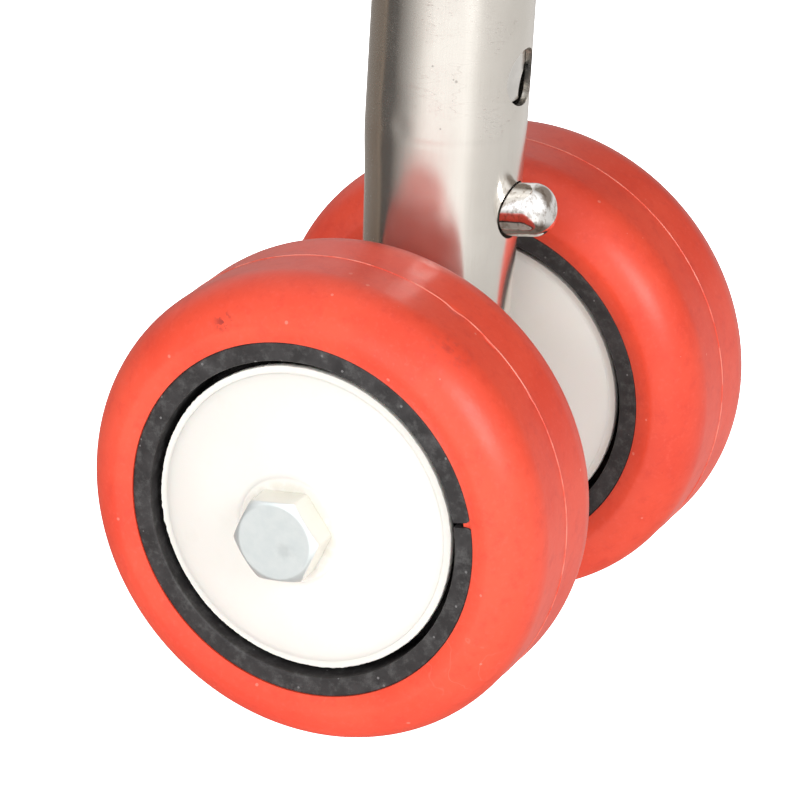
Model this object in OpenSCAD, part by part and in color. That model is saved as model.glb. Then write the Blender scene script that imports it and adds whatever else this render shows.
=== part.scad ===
// Twin-wheel trolley leg end: a round steel leg with two wheels on one through bolt,
// a sprung snap button near its foot and a spare hole above the button.
// Millimetres. +Z runs up the leg, the axle lies along Y, the button points to +X.
// The origin is the centre of the leg's top end.

/* [Leg] */
// Outside diameter of the leg tube
tube_d = 25.4; // [22:0.1:32]
// Wall thickness of the leg tube
tube_wall = 1.0; // [0.8:0.1:2]
// Height of the leg's top end above the axle
leg_rise = 110; // [90:1:200]
// Length of leg tube below the axle
leg_foot = 15; // [12:1:25]
// How much the leg's radius drops at its necked lower end
neck_drop = 0.7; // [0.2:0.1:2]
// Height above the axle where the neck begins to narrow
neck_top = 51; // [45:1:60]
// Height above the axle where the neck reaches its smallest size
neck_bottom = 18; // [8:1:30]

/* [Liner] */
// Wall thickness of the liner tube inside the upper leg
liner_wall = 1.0; // [0.8:0.1:2]
// Radial clearance between liner and leg
liner_clear = 0.1; // [0.05:0.01:0.3]
// Height of the liner's lower end above the axle
liner_base = 56.6; // [52:0.1:70]

/* [Button] */
// Diameter of the snap button
button_d = 8.4; // [7:0.1:10]
// Radial clearance of the button in its hole
button_clear = 0.4; // [0.3:0.05:0.8]
// Upward tilt of the button in its hole, degrees
button_tilt = 10.5; // [0:0.5:14]
// Height of the snap button above the axle
button_rise = 38.6; // [34:0.1:44]
// Height of the spare hole above the axle
spare_rise = 60.6; // [56:0.1:90]
// Reach of the button from its hole to its tip
button_out = 7.4; // [5:0.1:10]
// Corner radius of the button's domed tip
button_dome = 3.5; // [1:0.1:4]
// Width of the inner flange round the button
flange_w = 1.3; // [0.9:0.1:2]
// Thickness of the button's inner flange
flange_t = 1.0; // [0.6:0.1:2]
// Radius of the round nose that bears on the spring arm
nose_r = 2.0; // [1:0.1:3]

/* [Spring clip] */
// Width of the spring strip
strip_w = 8.0; // [5:0.1:12]
// Thickness of the spring strip
strip_t = 1.0; // [0.5:0.1:1.5]
// Length of the spring arm from its pivot to the button
arm_len = 27; // [22:0.5:32]
// Length of the strip's free ends below the button centre
arm_over = 5.5; // [4:0.1:9]
// Gap left between moving spring pieces
spring_gap = 0.05; // [0.03:0.01:0.2]

/* [Tyre] */
// Outside diameter of the tyre
tyre_d = 76.2; // [70:0.1:90]
// Overall width of the tyre
tyre_w = 30.4; // [26:0.1:40]
// Radius of the tyre's rounded shoulders
shoulder_r = 8.6; // [5:0.1:9.4]

/* [Core] */
// Outside diameter of the core ring under the tyre
core_d = 57.6; // [54:0.1:60]
// Width of the core ring
core_w = 28.3; // [24:0.1:34]
// Radial thickness of the core ring
ring_t = 3.0; // [2:0.1:5]
// Thickness of the core's web
web_t = 5; // [3:0.1:8]
// Wall of the core's hub round its bearings
hub_wall = 3.5; // [2:0.1:6]
// Width of the narrow slit in the core ring
slit_w = 0.8; // [0.5:0.1:2]
// Depth of the slit from the outer face
slit_deep = 5; // [1:0.1:8]
// Angle of the slit round the wheel, degrees
slit_turn = 12.6; // [0:0.1:90]

/* [Bearing] */
// Radial clearance of the bearing's bore on the bolt
bearing_clear = 0.05; // [0.02:0.01:0.1]
// Bearing outside diameter
bearing_od = 22; // [19:1:26]
// Bearing width
bearing_w = 7; // [6:1:8]
// Distance between the two bearings of a wheel
bearing_gap = 10; // [8:0.5:12]
// Ball diameter
ball_d = 3.97; // [3:0.01:4.5]
// Number of balls in a bearing
ball_count = 7; // [5:1:9]
// Thickness of each bearing race
race_t = 2.1; // [1.8:0.1:2.6]
// Radial gap between a ball and its grooves
groove_gap = 0.04; // [0.02:0.01:0.08]

/* [Guard] */
// Radial gap between guard and core ring
guard_gap = 1.2; // [0.4:0.05:1.5]
// Depth of the guard's rim below the core ring's face
guard_recess = 1.5; // [0.5:0.1:3]
// Height of the guard's boss above the core ring's face
guard_rise = 3.8; // [2:0.1:6]
// Wall thickness of the guard
guard_t = 1.5; // [1:0.1:2.5]
// Width of the flat rim round the guard
rim_w = 1.2; // [0.6:0.1:3]
// Height of the step at the rim and at the boss
step_h = 0.35; // [0.1:0.05:1]
// Diameter of the guard's central boss
boss_d = 17; // [14:0.1:20]
// Outside diameter of the guard's inner post
post_d = 12; // [10.6:0.1:14]

/* [Axle] */
// Diameter of the bolt's shank
bolt_d = 7.9; // [5.9:0.1:9.9]
// Length of bolt that shows beyond the lock nut
bolt_over = 1.4; // [0.5:0.1:6]
// Width across flats of bolt head and nut
hex_af = 12.7; // [12:0.1:14]
// Height of the bolt head
head_h = 5.0; // [4:0.1:6]
// Height of the lock nut's hexagon
nut_h = 6.4; // [5:0.1:8]
// Height of the lock nut's round collar
collar_h = 1.6; // [1:0.1:3]
// Washer outside diameter
washer_d = 16; // [14:0.5:20]
// Washer thickness
washer_t = 1.6; // [1:0.1:2.5]
// Radial clearance of parts threaded onto the bolt
axle_clear = 0.1; // [0.05:0.05:0.5]
// Edge chamfer on bolt tip and tube end
edge = 0.5; // [0.2:0.1:1]

/* [Hidden] */
$fn = 96;
eps = 0.01;
tube_r = tube_d / 2;
neck_r = tube_r - neck_drop;
flange_d = button_d + 2 * flange_w;
bearing_bore = bolt_d + 2 * bearing_clear;
hub_d = bearing_od + 2 * hub_wall;
tyre_r = tyre_d / 2;
core_r = core_d / 2;
ring_in = core_r - ring_t;
bore_r = bolt_d / 2 + axle_clear;
// The washers rest against the necked leg, the guards' bosses against the washers
wheel_gap = neck_r + washer_t + guard_rise;
wheel_mid = wheel_gap + core_w / 2;
face_z = core_w / 2;
seat_y = wheel_gap + core_w + guard_rise;
bolt_len = 2 * seat_y + washer_t + nut_h + collar_h + bolt_over;
head_r = hex_af / 2 / cos(30);
hole_r = button_d / 2 + button_clear;
// Outside radius of the necked leg at the button's height
button_skin = neck_r + (tube_r - neck_r) * (button_rise - neck_bottom) / (neck_top - neck_bottom);
hole_x = button_skin - tube_wall / 2;
// Flange position along the button, clear of the leg's curved inner wall
flange_at = sqrt(pow(hole_x - tube_wall / 2 - 0.1, 2) - pow(flange_d / 2, 2)) - 0.3 - hole_x;
nose_at = flange_at - flange_t - 0.4;
liner_in = tube_r - tube_wall - liner_clear - liner_wall;
// Pivot of the spring arm, set so the arm just clears the button's nose
arm_at = nose_at - nose_r - strip_t / 2 - spring_gap;
pivot_x = hole_x + arm_at * cos(button_tilt) - arm_len * sin(button_tilt);
pivot_z = button_rise + arm_at * sin(button_tilt) + arm_len * cos(button_tilt);
back_x = -(sqrt(pow(liner_in, 2) - pow(strip_w / 2, 2)) - strip_t / 2 - 0.1);
guard_r = ring_in - guard_gap;
dome_r = guard_r - rim_w;
rim_z = face_z - guard_recess;
dome_z = rim_z + step_h;
boss_z = face_z + guard_rise;
dome_h = boss_z - step_h - dome_z;
dome_a = (pow(dome_r, 2) - pow(boss_d / 2, 2) - pow(dome_h, 2)) / (2 * dome_h);
dome_R = sqrt(pow(dome_r, 2) + pow(dome_a, 2));
bearing_z = bearing_gap / 2;
bearing_end = bearing_z + bearing_w;
ball_pcr = (bearing_bore + bearing_od) / 4;

// Places a wheel piece whose own +Z points away from the leg: side -1 near, +1 far
module wheel_side(side) {
    translate([0, side * wheel_mid, -leg_rise])
        rotate([-side * 90, 0, 0])
            children();
}

// Places a piece drawn along +Z onto the axle line at distance y, pointing to +Y or -Y
module on_axle(y, side) {
    translate([0, side * y, -leg_rise])
        rotate([-side * 90, 0, 0])
            children();
}

module ring_solid(r_out, r_in, h) {
    difference() {
        cylinder(h = h, r = r_out);
        translate([0, 0, -1])
            cylinder(h = h + 2, r = r_in);
    }
}

// Outside of the leg, grown by a given amount, drawn with the axle at height 0
module leg_skin(grow) {
    rotate_extrude()
        polygon([
            [0, -leg_foot], [neck_r + grow, -leg_foot], [neck_r + grow, neck_bottom],
            [tube_r + grow, neck_top], [tube_r + grow, leg_rise], [0, leg_rise]
        ]);
}

module leg_tube() {
    color([0.78, 0.77, 0.75])
    translate([0, 0, -leg_rise])
    difference() {
        leg_skin(0);
        // hollow
        rotate_extrude()
            polygon([
                [0, -leg_foot - 1], [neck_r - tube_wall, -leg_foot - 1],
                [neck_r - tube_wall, neck_bottom], [tube_r - tube_wall, neck_top],
                [tube_r - tube_wall, leg_rise + 1], [0, leg_rise + 1]
            ]);
        // button hole and spare hole, both on the +X side
        for (z = [button_rise, spare_rise])
            translate([0, 0, z])
                rotate([0, 90, 0])
                    cylinder(h = tube_d, r = hole_r);
        // axle holes through both walls
        rotate([90, 0, 0])
            cylinder(h = 2 * tube_d, r = bore_r + axle_clear, center = true);
    }
}

module liner_tube() {
    color([0.72, 0.71, 0.69])
    translate([0, 0, liner_base - leg_rise])
        ring_solid(tube_r - tube_wall - liner_clear,
            tube_r - tube_wall - liner_clear - liner_wall, leg_rise - liner_base - edge);
}

// Domed plunger with an inner flange and a round nose, tilted upwards in its hole
module snap_button() {
    color([0.82, 0.82, 0.83])
    translate([hole_x, 0, button_rise - leg_rise])
        rotate([0, 90 - button_tilt, 0]) {
            rotate_extrude() {
                translate([0, flange_at - flange_t])
                    square([flange_d / 2, flange_t]);
                translate([0, flange_at - eps])
                    square([button_d / 2, button_out - button_dome - flange_at + eps]);
                translate([0, flange_at])
                    square([button_d / 2 - button_dome, button_out - flange_at]);
                intersection() {
                    translate([button_d / 2 - button_dome, button_out - button_dome])
                        circle(r = button_dome);
                    square([button_d / 2, button_out]);
                }
            }
            translate([0, 0, nose_at])
                sphere(r = nose_r);
        }
}

// Straight spring arm behind the button, turning about its upper end
module spring_arm() {
    color([0.6, 0.61, 0.63])
    translate([pivot_x, 0, pivot_z - leg_rise])
        rotate([0, -button_tilt, 0]) {
            translate([-strip_t / 2, -strip_w / 2, -arm_len - arm_over])
                cube([strip_t, strip_w, arm_len + arm_over]);
            rotate([90, 0, 0])
                cylinder(h = strip_w, r = strip_t / 2, center = true);
        }
}

// Fixed half of the V-shaped clip: the back arm against the far wall and the bend over the top
module spring_back() {
    reach = (pivot_x - back_x) / 2;
    bend_z = pivot_z + strip_t / 2 + 2 * spring_gap;
    foot = button_rise - arm_over;
    color([0.6, 0.61, 0.63])
    translate([0, 0, -leg_rise]) {
        translate([back_x + reach, 0, bend_z])
            rotate([90, 0, 0])
                difference() {
                    cylinder(h = strip_w, r = reach + strip_t / 2, center = true);
                    cylinder(h = strip_w + 1, r = reach - strip_t / 2, center = true);
                    translate([-tube_d, -tube_d, -strip_w])
                        cube([2 * tube_d, tube_d, 2 * strip_w]);
                }
        translate([back_x - strip_t / 2, -strip_w / 2, foot])
            cube([strip_t, strip_w, bend_z - foot + eps]);
    }
}

// Hexagon with its outer corners chamfered
module hex_block(h) {
    intersection() {
        cylinder(h = h, r = head_r, $fn = 6);
        cylinder(h = h, r1 = hex_af * 0.475 + h * tan(60), r2 = hex_af * 0.475);
    }
}

module axle_bolt() {
    color([0.74, 0.76, 0.78])
    on_axle(seat_y, -1) {
        rotate([0, 0, 8])
            hex_block(head_h);
        translate([0, 0, -bolt_len + edge])
            cylinder(h = bolt_len - edge + eps, r = bolt_d / 2);
        translate([0, 0, -bolt_len])
            cylinder(h = edge + eps, r1 = bolt_d / 2 - edge, r2 = bolt_d / 2);
    }
}

module nut_washer() {
    color([0.74, 0.76, 0.78])
    on_axle(seat_y, 1)
        ring_solid(washer_d / 2, bore_r + axle_clear, washer_t);
}

module lock_nut() {
    color([0.74, 0.76, 0.78])
    on_axle(seat_y + washer_t, 1)
        difference() {
            union() {
                hex_block(nut_h);
                cylinder(h = nut_h + collar_h, r = hex_af / 2 - 0.9);
            }
            translate([0, 0, -1])
                cylinder(h = nut_h + collar_h + 2, r = bolt_d / 2 + 0.02);
        }
}

module leg_washer(side) {
    color([0.74, 0.76, 0.78])
    on_axle(wheel_gap - guard_rise - washer_t, side)
        ring_solid(washer_d / 2, bore_r + axle_clear, washer_t);
}

// Flat tread, large round shoulders and a short slope down to the core ring
module tyre() {
    flat = tyre_w / 2 - shoulder_r;
    arc_r = tyre_r - shoulder_r;
    slope = (tyre_w / 2 - face_z) / (arc_r - core_r);
    color([0.85, 0.17, 0.11])
    rotate_extrude()
        difference() {
            union() {
                translate([0, -flat])
                    square([tyre_r, 2 * flat]);
                translate([0, -tyre_w / 2])
                    square([arc_r, tyre_w]);
                for (s = [-1, 1])
                    translate([arc_r, s * flat])
                        circle(r = shoulder_r);
            }
            translate([-core_r, -tyre_w])
                square([2 * core_r, 2 * tyre_w]);
            for (s = [-1, 1])
                polygon([
                    [core_r - 1, s * (face_z - slope)], [arc_r, s * tyre_w / 2],
                    [arc_r, s * tyre_w], [core_r - 1, s * tyre_w]
                ]);
        }
}

// Ring, web and hub in one moulding, with a bearing seat in each end of the hub
module core() {
    color([0.14, 0.13, 0.13])
    difference() {
        rotate_extrude()
            difference() {
                union() {
                    translate([ring_in, -face_z])
                        square([ring_t, core_w]);
                    translate([0, -web_t / 2])
                        square([core_r - eps, web_t]);
                    translate([0, -bearing_end])
                        square([hub_d / 2, 2 * bearing_end]);
                }
                // bearing seats and the clear way between them
                translate([-1, bearing_z])
                    square([bearing_od / 2 + 1, bearing_end]);
                translate([-1, -bearing_z - bearing_end])
                    square([bearing_od / 2 + 1, bearing_end]);
                translate([-1, -bearing_z - 1])
                    square([bearing_od / 2 - 1.5 + 1, 2 * bearing_z + 2]);
            }
        // narrow slit across the ring's outer face
        rotate([0, 0, slit_turn])
            translate([ring_in - 1, -slit_w / 2, face_z - slit_deep])
                cube([ring_t + 2, slit_w, slit_deep + 1]);
    }
}

// Domed guard clamped on the axle: rim, dome, boss and inner post
module guard() {
    color([0.93, 0.91, 0.87])
    rotate_extrude()
        difference() {
            union() {
                translate([dome_r - guard_t, rim_z - guard_t])
                    square([rim_w + guard_t, guard_t]);
                intersection() {
                    translate([0, dome_z - dome_a])
                        circle(r = dome_R, $fn = 256);
                    translate([0, rim_z - eps])
                        square([dome_r, boss_z - step_h - rim_z]);
                }
                translate([0, boss_z - guard_t])
                    square([boss_d / 2, guard_t]);
                translate([0, bearing_end])
                    square([post_d / 2, boss_z - bearing_end]);
            }
            // hollow under the dome, left open towards the core
            difference() {
                intersection() {
                    translate([0, dome_z - dome_a])
                        circle(r = dome_R - guard_t, $fn = 256);
                    square([dome_r - guard_t, dome_R]);
                }
                square([post_d / 2, dome_R]);
            }
            translate([-1, 0])
                square([bore_r + 1, dome_R]);
        }
}

module spacer() {
    color([0.66, 0.67, 0.68])
    translate([0, 0, -bearing_z])
        ring_solid(post_d / 2, bore_r, 2 * bearing_z);
}

// Bearing pieces, drawn from the bearing's inner-side face upwards
module ball_groove() {
    translate([0, 0, bearing_w / 2])
        rotate_extrude()
            translate([ball_pcr, 0])
                circle(r = ball_d / 2 + groove_gap);
}

module race_out() {
    color([0.7, 0.71, 0.72])
    difference() {
        ring_solid(bearing_od / 2, bearing_od / 2 - race_t, bearing_w);
        ball_groove();
    }
}

module race_in() {
    color([0.7, 0.71, 0.72])
    difference() {
        ring_solid(bearing_bore / 2 + race_t, bearing_bore / 2, bearing_w);
        ball_groove();
    }
}

// Ball set held in its thin cage ring
module balls() {
    color([0.8, 0.8, 0.82]) {
        for (i = [0 : ball_count - 1])
            rotate([0, 0, i * 360 / ball_count])
                translate([ball_pcr, 0, bearing_w / 2])
                    sphere(d = ball_d);
        translate([0, 0, bearing_w / 2 - 0.6])
            ring_solid(ball_pcr + 0.4, ball_pcr - 0.4, 1.2);
    }
}

// Outer bearing "a" sits outboard, inner bearing "b" inboard
module bearing_a(side) {
    wheel_side(side)
        translate([0, 0, bearing_z])
            children();
}

module bearing_b(side) {
    wheel_side(side)
        translate([0, 0, -bearing_end])
            children();
}

// The inner guard faces the leg, so it is the same part turned round
module guard_inner(side) {
    translate([0, side * wheel_mid, -leg_rise])
        rotate([side * 90, 0, 0])
            guard();
}

leg_tube();
liner_tube();
snap_button();
spring_arm();
spring_back();
axle_bolt();
lock_nut();
nut_washer();
leg_washer(-1);  // leg_washer_near
leg_washer(1);  // leg_washer_far
wheel_side(-1) tyre();  // tyre_near
wheel_side(-1) core();  // core_near
wheel_side(-1) guard();  // guard_outer_near
guard_inner(-1);  // guard_inner_near
wheel_side(-1) spacer();  // spacer_near
bearing_a(-1) race_out();  // race_out_a_near
bearing_a(-1) race_in();  // race_in_a_near
bearing_a(-1) balls();  // balls_a_near
bearing_b(-1) race_out();  // race_out_b_near
bearing_b(-1) race_in();  // race_in_b_near
bearing_b(-1) balls();  // balls_b_near
wheel_side(1) tyre();  // tyre_far
wheel_side(1) core();  // core_far
wheel_side(1) guard();  // guard_outer_far
guard_inner(1);  // guard_inner_far
wheel_side(1) spacer();  // spacer_far
bearing_a(1) race_out();  // race_out_a_far
bearing_a(1) race_in();  // race_in_a_far
bearing_a(1) balls();  // balls_a_far
bearing_b(1) race_out();  // race_out_b_far
bearing_b(1) race_in();  // race_in_b_far
bearing_b(1) balls();  // balls_b_far
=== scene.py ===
import bpy
import bmesh
import math
from mathutils import Matrix, Vector, noise


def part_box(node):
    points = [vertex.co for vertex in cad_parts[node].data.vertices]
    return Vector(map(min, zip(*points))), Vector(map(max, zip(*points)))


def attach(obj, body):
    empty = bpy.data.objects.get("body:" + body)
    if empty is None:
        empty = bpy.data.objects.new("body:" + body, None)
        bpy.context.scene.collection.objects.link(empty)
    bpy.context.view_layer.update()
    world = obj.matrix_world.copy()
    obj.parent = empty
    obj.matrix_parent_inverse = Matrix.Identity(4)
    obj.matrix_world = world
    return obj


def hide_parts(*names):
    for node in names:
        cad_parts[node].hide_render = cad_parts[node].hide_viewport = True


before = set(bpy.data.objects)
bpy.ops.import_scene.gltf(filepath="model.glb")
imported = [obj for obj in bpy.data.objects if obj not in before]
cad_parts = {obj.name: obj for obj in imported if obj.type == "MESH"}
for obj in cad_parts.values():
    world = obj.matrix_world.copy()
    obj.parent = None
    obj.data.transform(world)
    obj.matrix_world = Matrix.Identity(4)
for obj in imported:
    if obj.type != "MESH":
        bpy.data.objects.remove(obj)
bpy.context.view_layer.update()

# ---------------------------------------------------------------- sizes, in metres
MM = 0.001
tyre_low, tyre_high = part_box("tyre_near")
core_low, core_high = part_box("core_near")
outer_low, outer_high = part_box("guard_outer_near")
leg_low, leg_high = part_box("leg_tube")
liner_low, liner_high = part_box("liner_tube")
bolt_low, bolt_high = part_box("axle_bolt")
nut_low, nut_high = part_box("lock_nut")

# wheels: the tyre, then the core's ring, web, hub, bearing seats and slit
AXLE_Z = (tyre_low.z + tyre_high.z) / 2
WHEEL_Y = -(tyre_low.y + tyre_high.y) / 2
TYRE_R = (tyre_high.x - tyre_low.x) / 2
TYRE_HALF = (tyre_high.y - tyre_low.y) / 2
SHOULDER_R = 8.6 * MM
CORE_R = (core_high.x - core_low.x) / 2
CORE_HALF = (core_high.y - core_low.y) / 2
RING_T = 3.0 * MM
WEB_HALF = 2.5 * MM
HUB_R = 14.5 * MM
SEAT_R = 11.0 * MM
SEAT_IN = 5.0 * MM
SEAT_OUT = 12.0 * MM
SLIT_TURN = math.radians(12.6)
SLIT_HALF = 0.4 * MM
SLIT_DEEP = 5.0 * MM

# guards: the moulded rim, the step, the dome's wall, the boss and the post on the bearing
GUARD_R = (outer_high.x - outer_low.x) / 2
GUARD_RIM = CORE_HALF - 1.5 * MM
GUARD_TOP = -WHEEL_Y - outer_low.y
RIM_W = 1.2 * MM
STEP_H = 0.35 * MM
GUARD_T = 1.5 * MM
BOSS_R = 8.5 * MM
POST_R = 6.0 * MM
BORE_R = 4.05 * MM

# leg, and the snap button with its hole and the spare one
TUBE_R = (leg_high.x - leg_low.x) / 2
TUBE_WALL = 1.0 * MM
NECK_R = TUBE_R - 0.7 * MM
NECK_TOP = AXLE_Z + 51 * MM
NECK_BOTTOM = AXLE_Z + 18 * MM
LEG_FOOT = leg_low.z
LEG_TOP = leg_high.z
BUTTON_R = 4.2 * MM
HOLE_R = BUTTON_R + 0.4 * MM
BUTTON_Z = AXLE_Z + 38.6 * MM
SPARE_Z = AXLE_Z + 60.6 * MM
BUTTON_TILT = math.radians(10.5)
BUTTON_OUT = 7.4 * MM
BUTTON_DOME = 3.5 * MM
SKIN_AT_BUTTON = NECK_R + (TUBE_R - NECK_R) * (BUTTON_Z - NECK_BOTTOM) / (NECK_TOP - NECK_BOTTOM)
BUTTON_HOLE_X = SKIN_AT_BUTTON - TUBE_WALL / 2

# bolt and nut
BOLT_R = 3.95 * MM
HEX_AF = 12.7 * MM
HEAD_TURN = math.radians(8)
HEAD_Y = -bolt_low.y
SEAT_Y = WHEEL_Y + GUARD_TOP

# edges over this many degrees stay sharp
CREASE = 32

# small cuts in the near tread: degrees round, mm across from its middle, size against a 1.6 mm one
NICKS = ((75.8, -4.9, 1.0), (63.0, 0.1, 0.9), (52.0, 0.5, 0.8), (36.7, 0.3, 0.5), (56.0, -9.5, 0.7))
# dents in the leg: degrees from +X, mm above the axle, radius in mm, depth in mm
DENTS = ((-99.8, 53, 1.8, 0.12), (-108, 57, 3.0, 0.10), (-118, 50, 2.5, 0.08), (-82, 54.5, 2.0, 0.03))
# dark pits in the leg: degrees from +X, mm above the axle, radius in mm
PITS = ((-78, 64.0, 0.16), (-61, 61.8, 0.22), (-63, 62.1, 0.12), (-70, 54.0, 0.14))
# dark flecks on the near guard: degrees round, mm from the axle
FLECKS = ((111.8, 18.6), (105.3, 13.1), (-53.2, 11.2))


# ---------------------------------------------------------------- mesh helpers
def wheel_matrix(side, flip=False):
    """Local +Z points out from the leg, or towards it when flipped; side is -1 near, 1 far."""
    turn = side * math.pi / 2 if flip else -side * math.pi / 2
    return Matrix.Translation((0, side * WHEEL_Y, AXLE_Z)) @ Matrix.Rotation(turn, 4, "X")


def axle_matrix(y, side):
    """Local +Z points along the axle from distance y, to +Y or -Y."""
    return Matrix.Translation((0, side * y, AXLE_Z)) @ Matrix.Rotation(-side * math.pi / 2, 4, "X")


def rounded(corners, steps):
    """A closed outline of (r, z, fillet) corners, with each fillet as an arc of short steps."""
    points = []
    count = len(corners)
    for i, (r, z, fillet) in enumerate(corners):
        here = Vector((r, z))
        if fillet <= 0:
            points.append(here)
            continue
        before = Vector(corners[i - 1][:2]) - here
        after = Vector(corners[(i + 1) % count][:2]) - here
        half = before.angle(after) / 2
        back_off = min(fillet / math.tan(half), before.length * 0.49, after.length * 0.49)
        radius = back_off * math.tan(half)
        centre = here + (before.normalized() + after.normalized()).normalized() * (radius / math.sin(half))
        start = here + before.normalized() * back_off - centre
        end = here + after.normalized() * back_off - centre
        sweep = start.angle_signed(end)
        for k in range(steps + 1):
            points.append(centre + Matrix.Rotation(-sweep * k / steps, 2) @ start)
    return [(p.x, p.y) for p in points]


def arc(centre_r, centre_z, radius, start, end, steps):
    """Points on a circle in the (r, z) plane, with angles in degrees."""
    turns = [math.radians(start + (end - start) * k / steps) for k in range(steps + 1)]
    return [(centre_r + radius * math.cos(t), centre_z + radius * math.sin(t)) for t in turns]


def spin(mesh, profile, matrix, segments, shape=None):
    """Adds the closed profile turned about local Z to a bmesh. shape may move each (r, z) by its angle."""
    rings = []
    for k in range(segments):
        angle = 2 * math.pi * k / segments
        ring = []
        for index, (r, z) in enumerate(profile):
            if shape:
                r, z = shape(r, z, angle, index)
            ring.append(mesh.verts.new(matrix @ Vector((r * math.cos(angle), r * math.sin(angle), z))))
        rings.append(ring)
    for k in range(segments):
        a, b = rings[k], rings[(k + 1) % segments]
        for i in range(len(profile)):
            j = (i + 1) % len(profile)
            mesh.faces.new((a[i], b[i], b[j], a[j]))


def smooth(obj, crease=CREASE, weighted=True):
    """Smooth shading with sharp edges over crease degrees. weighted makes large faces look flat."""
    obj.data.shade_smooth()
    obj.data.set_sharp_from_angle(angle=math.radians(crease))
    if weighted:
        step = obj.modifiers.new("weighted", "WEIGHTED_NORMAL")
        step.keep_sharp = True


def piece(name, mesh, material, body, replaced, crease=CREASE, weighted=True):
    """Turns a bmesh into a named piece that rides on a body and stands for a CAD node."""
    bmesh.ops.remove_doubles(mesh, verts=mesh.verts, dist=1e-7)
    bmesh.ops.recalc_face_normals(mesh, faces=mesh.faces)
    data = bpy.data.meshes.new(name)
    mesh.to_mesh(data)
    mesh.free()
    obj = bpy.data.objects.new(name, data)
    bpy.context.scene.collection.objects.link(obj)
    data.materials.append(material)
    smooth(obj, crease, weighted)
    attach(obj, body)
    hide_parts(replaced)
    return obj


def wobble(x, y, z):
    """Smooth noise from about -1 to 1."""
    return noise.noise(Vector((x, y, z)))


def round_wobble(angle, scale, seed):
    """Noise round a circle that meets itself."""
    return wobble(math.cos(angle) * scale + seed, math.sin(angle) * scale, seed)


def turn_from(angle, degrees):
    """Signed angle in radians to a place round a circle, the shorter way."""
    return (angle - math.radians(degrees) + math.pi) % (2 * math.pi) - math.pi


def ease(share):
    """0 below 0, 1 above 1, and an even S between."""
    share = min(1.0, max(0.0, share))
    return share * share * (3 - 2 * share)


def prism(mesh, matrix, outline, low, high):
    """Adds a closed straight shape: the (r, w) outline from z low to z high."""
    foot = [mesh.verts.new(matrix @ Vector((r, w, low))) for r, w in outline]
    top = [mesh.verts.new(matrix @ Vector((r, w, high))) for r, w in outline]
    mesh.faces.new(foot[::-1])
    mesh.faces.new(top)
    for i in range(len(outline)):
        j = (i + 1) % len(outline)
        mesh.faces.new((foot[i], foot[j], top[j], top[i]))


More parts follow.
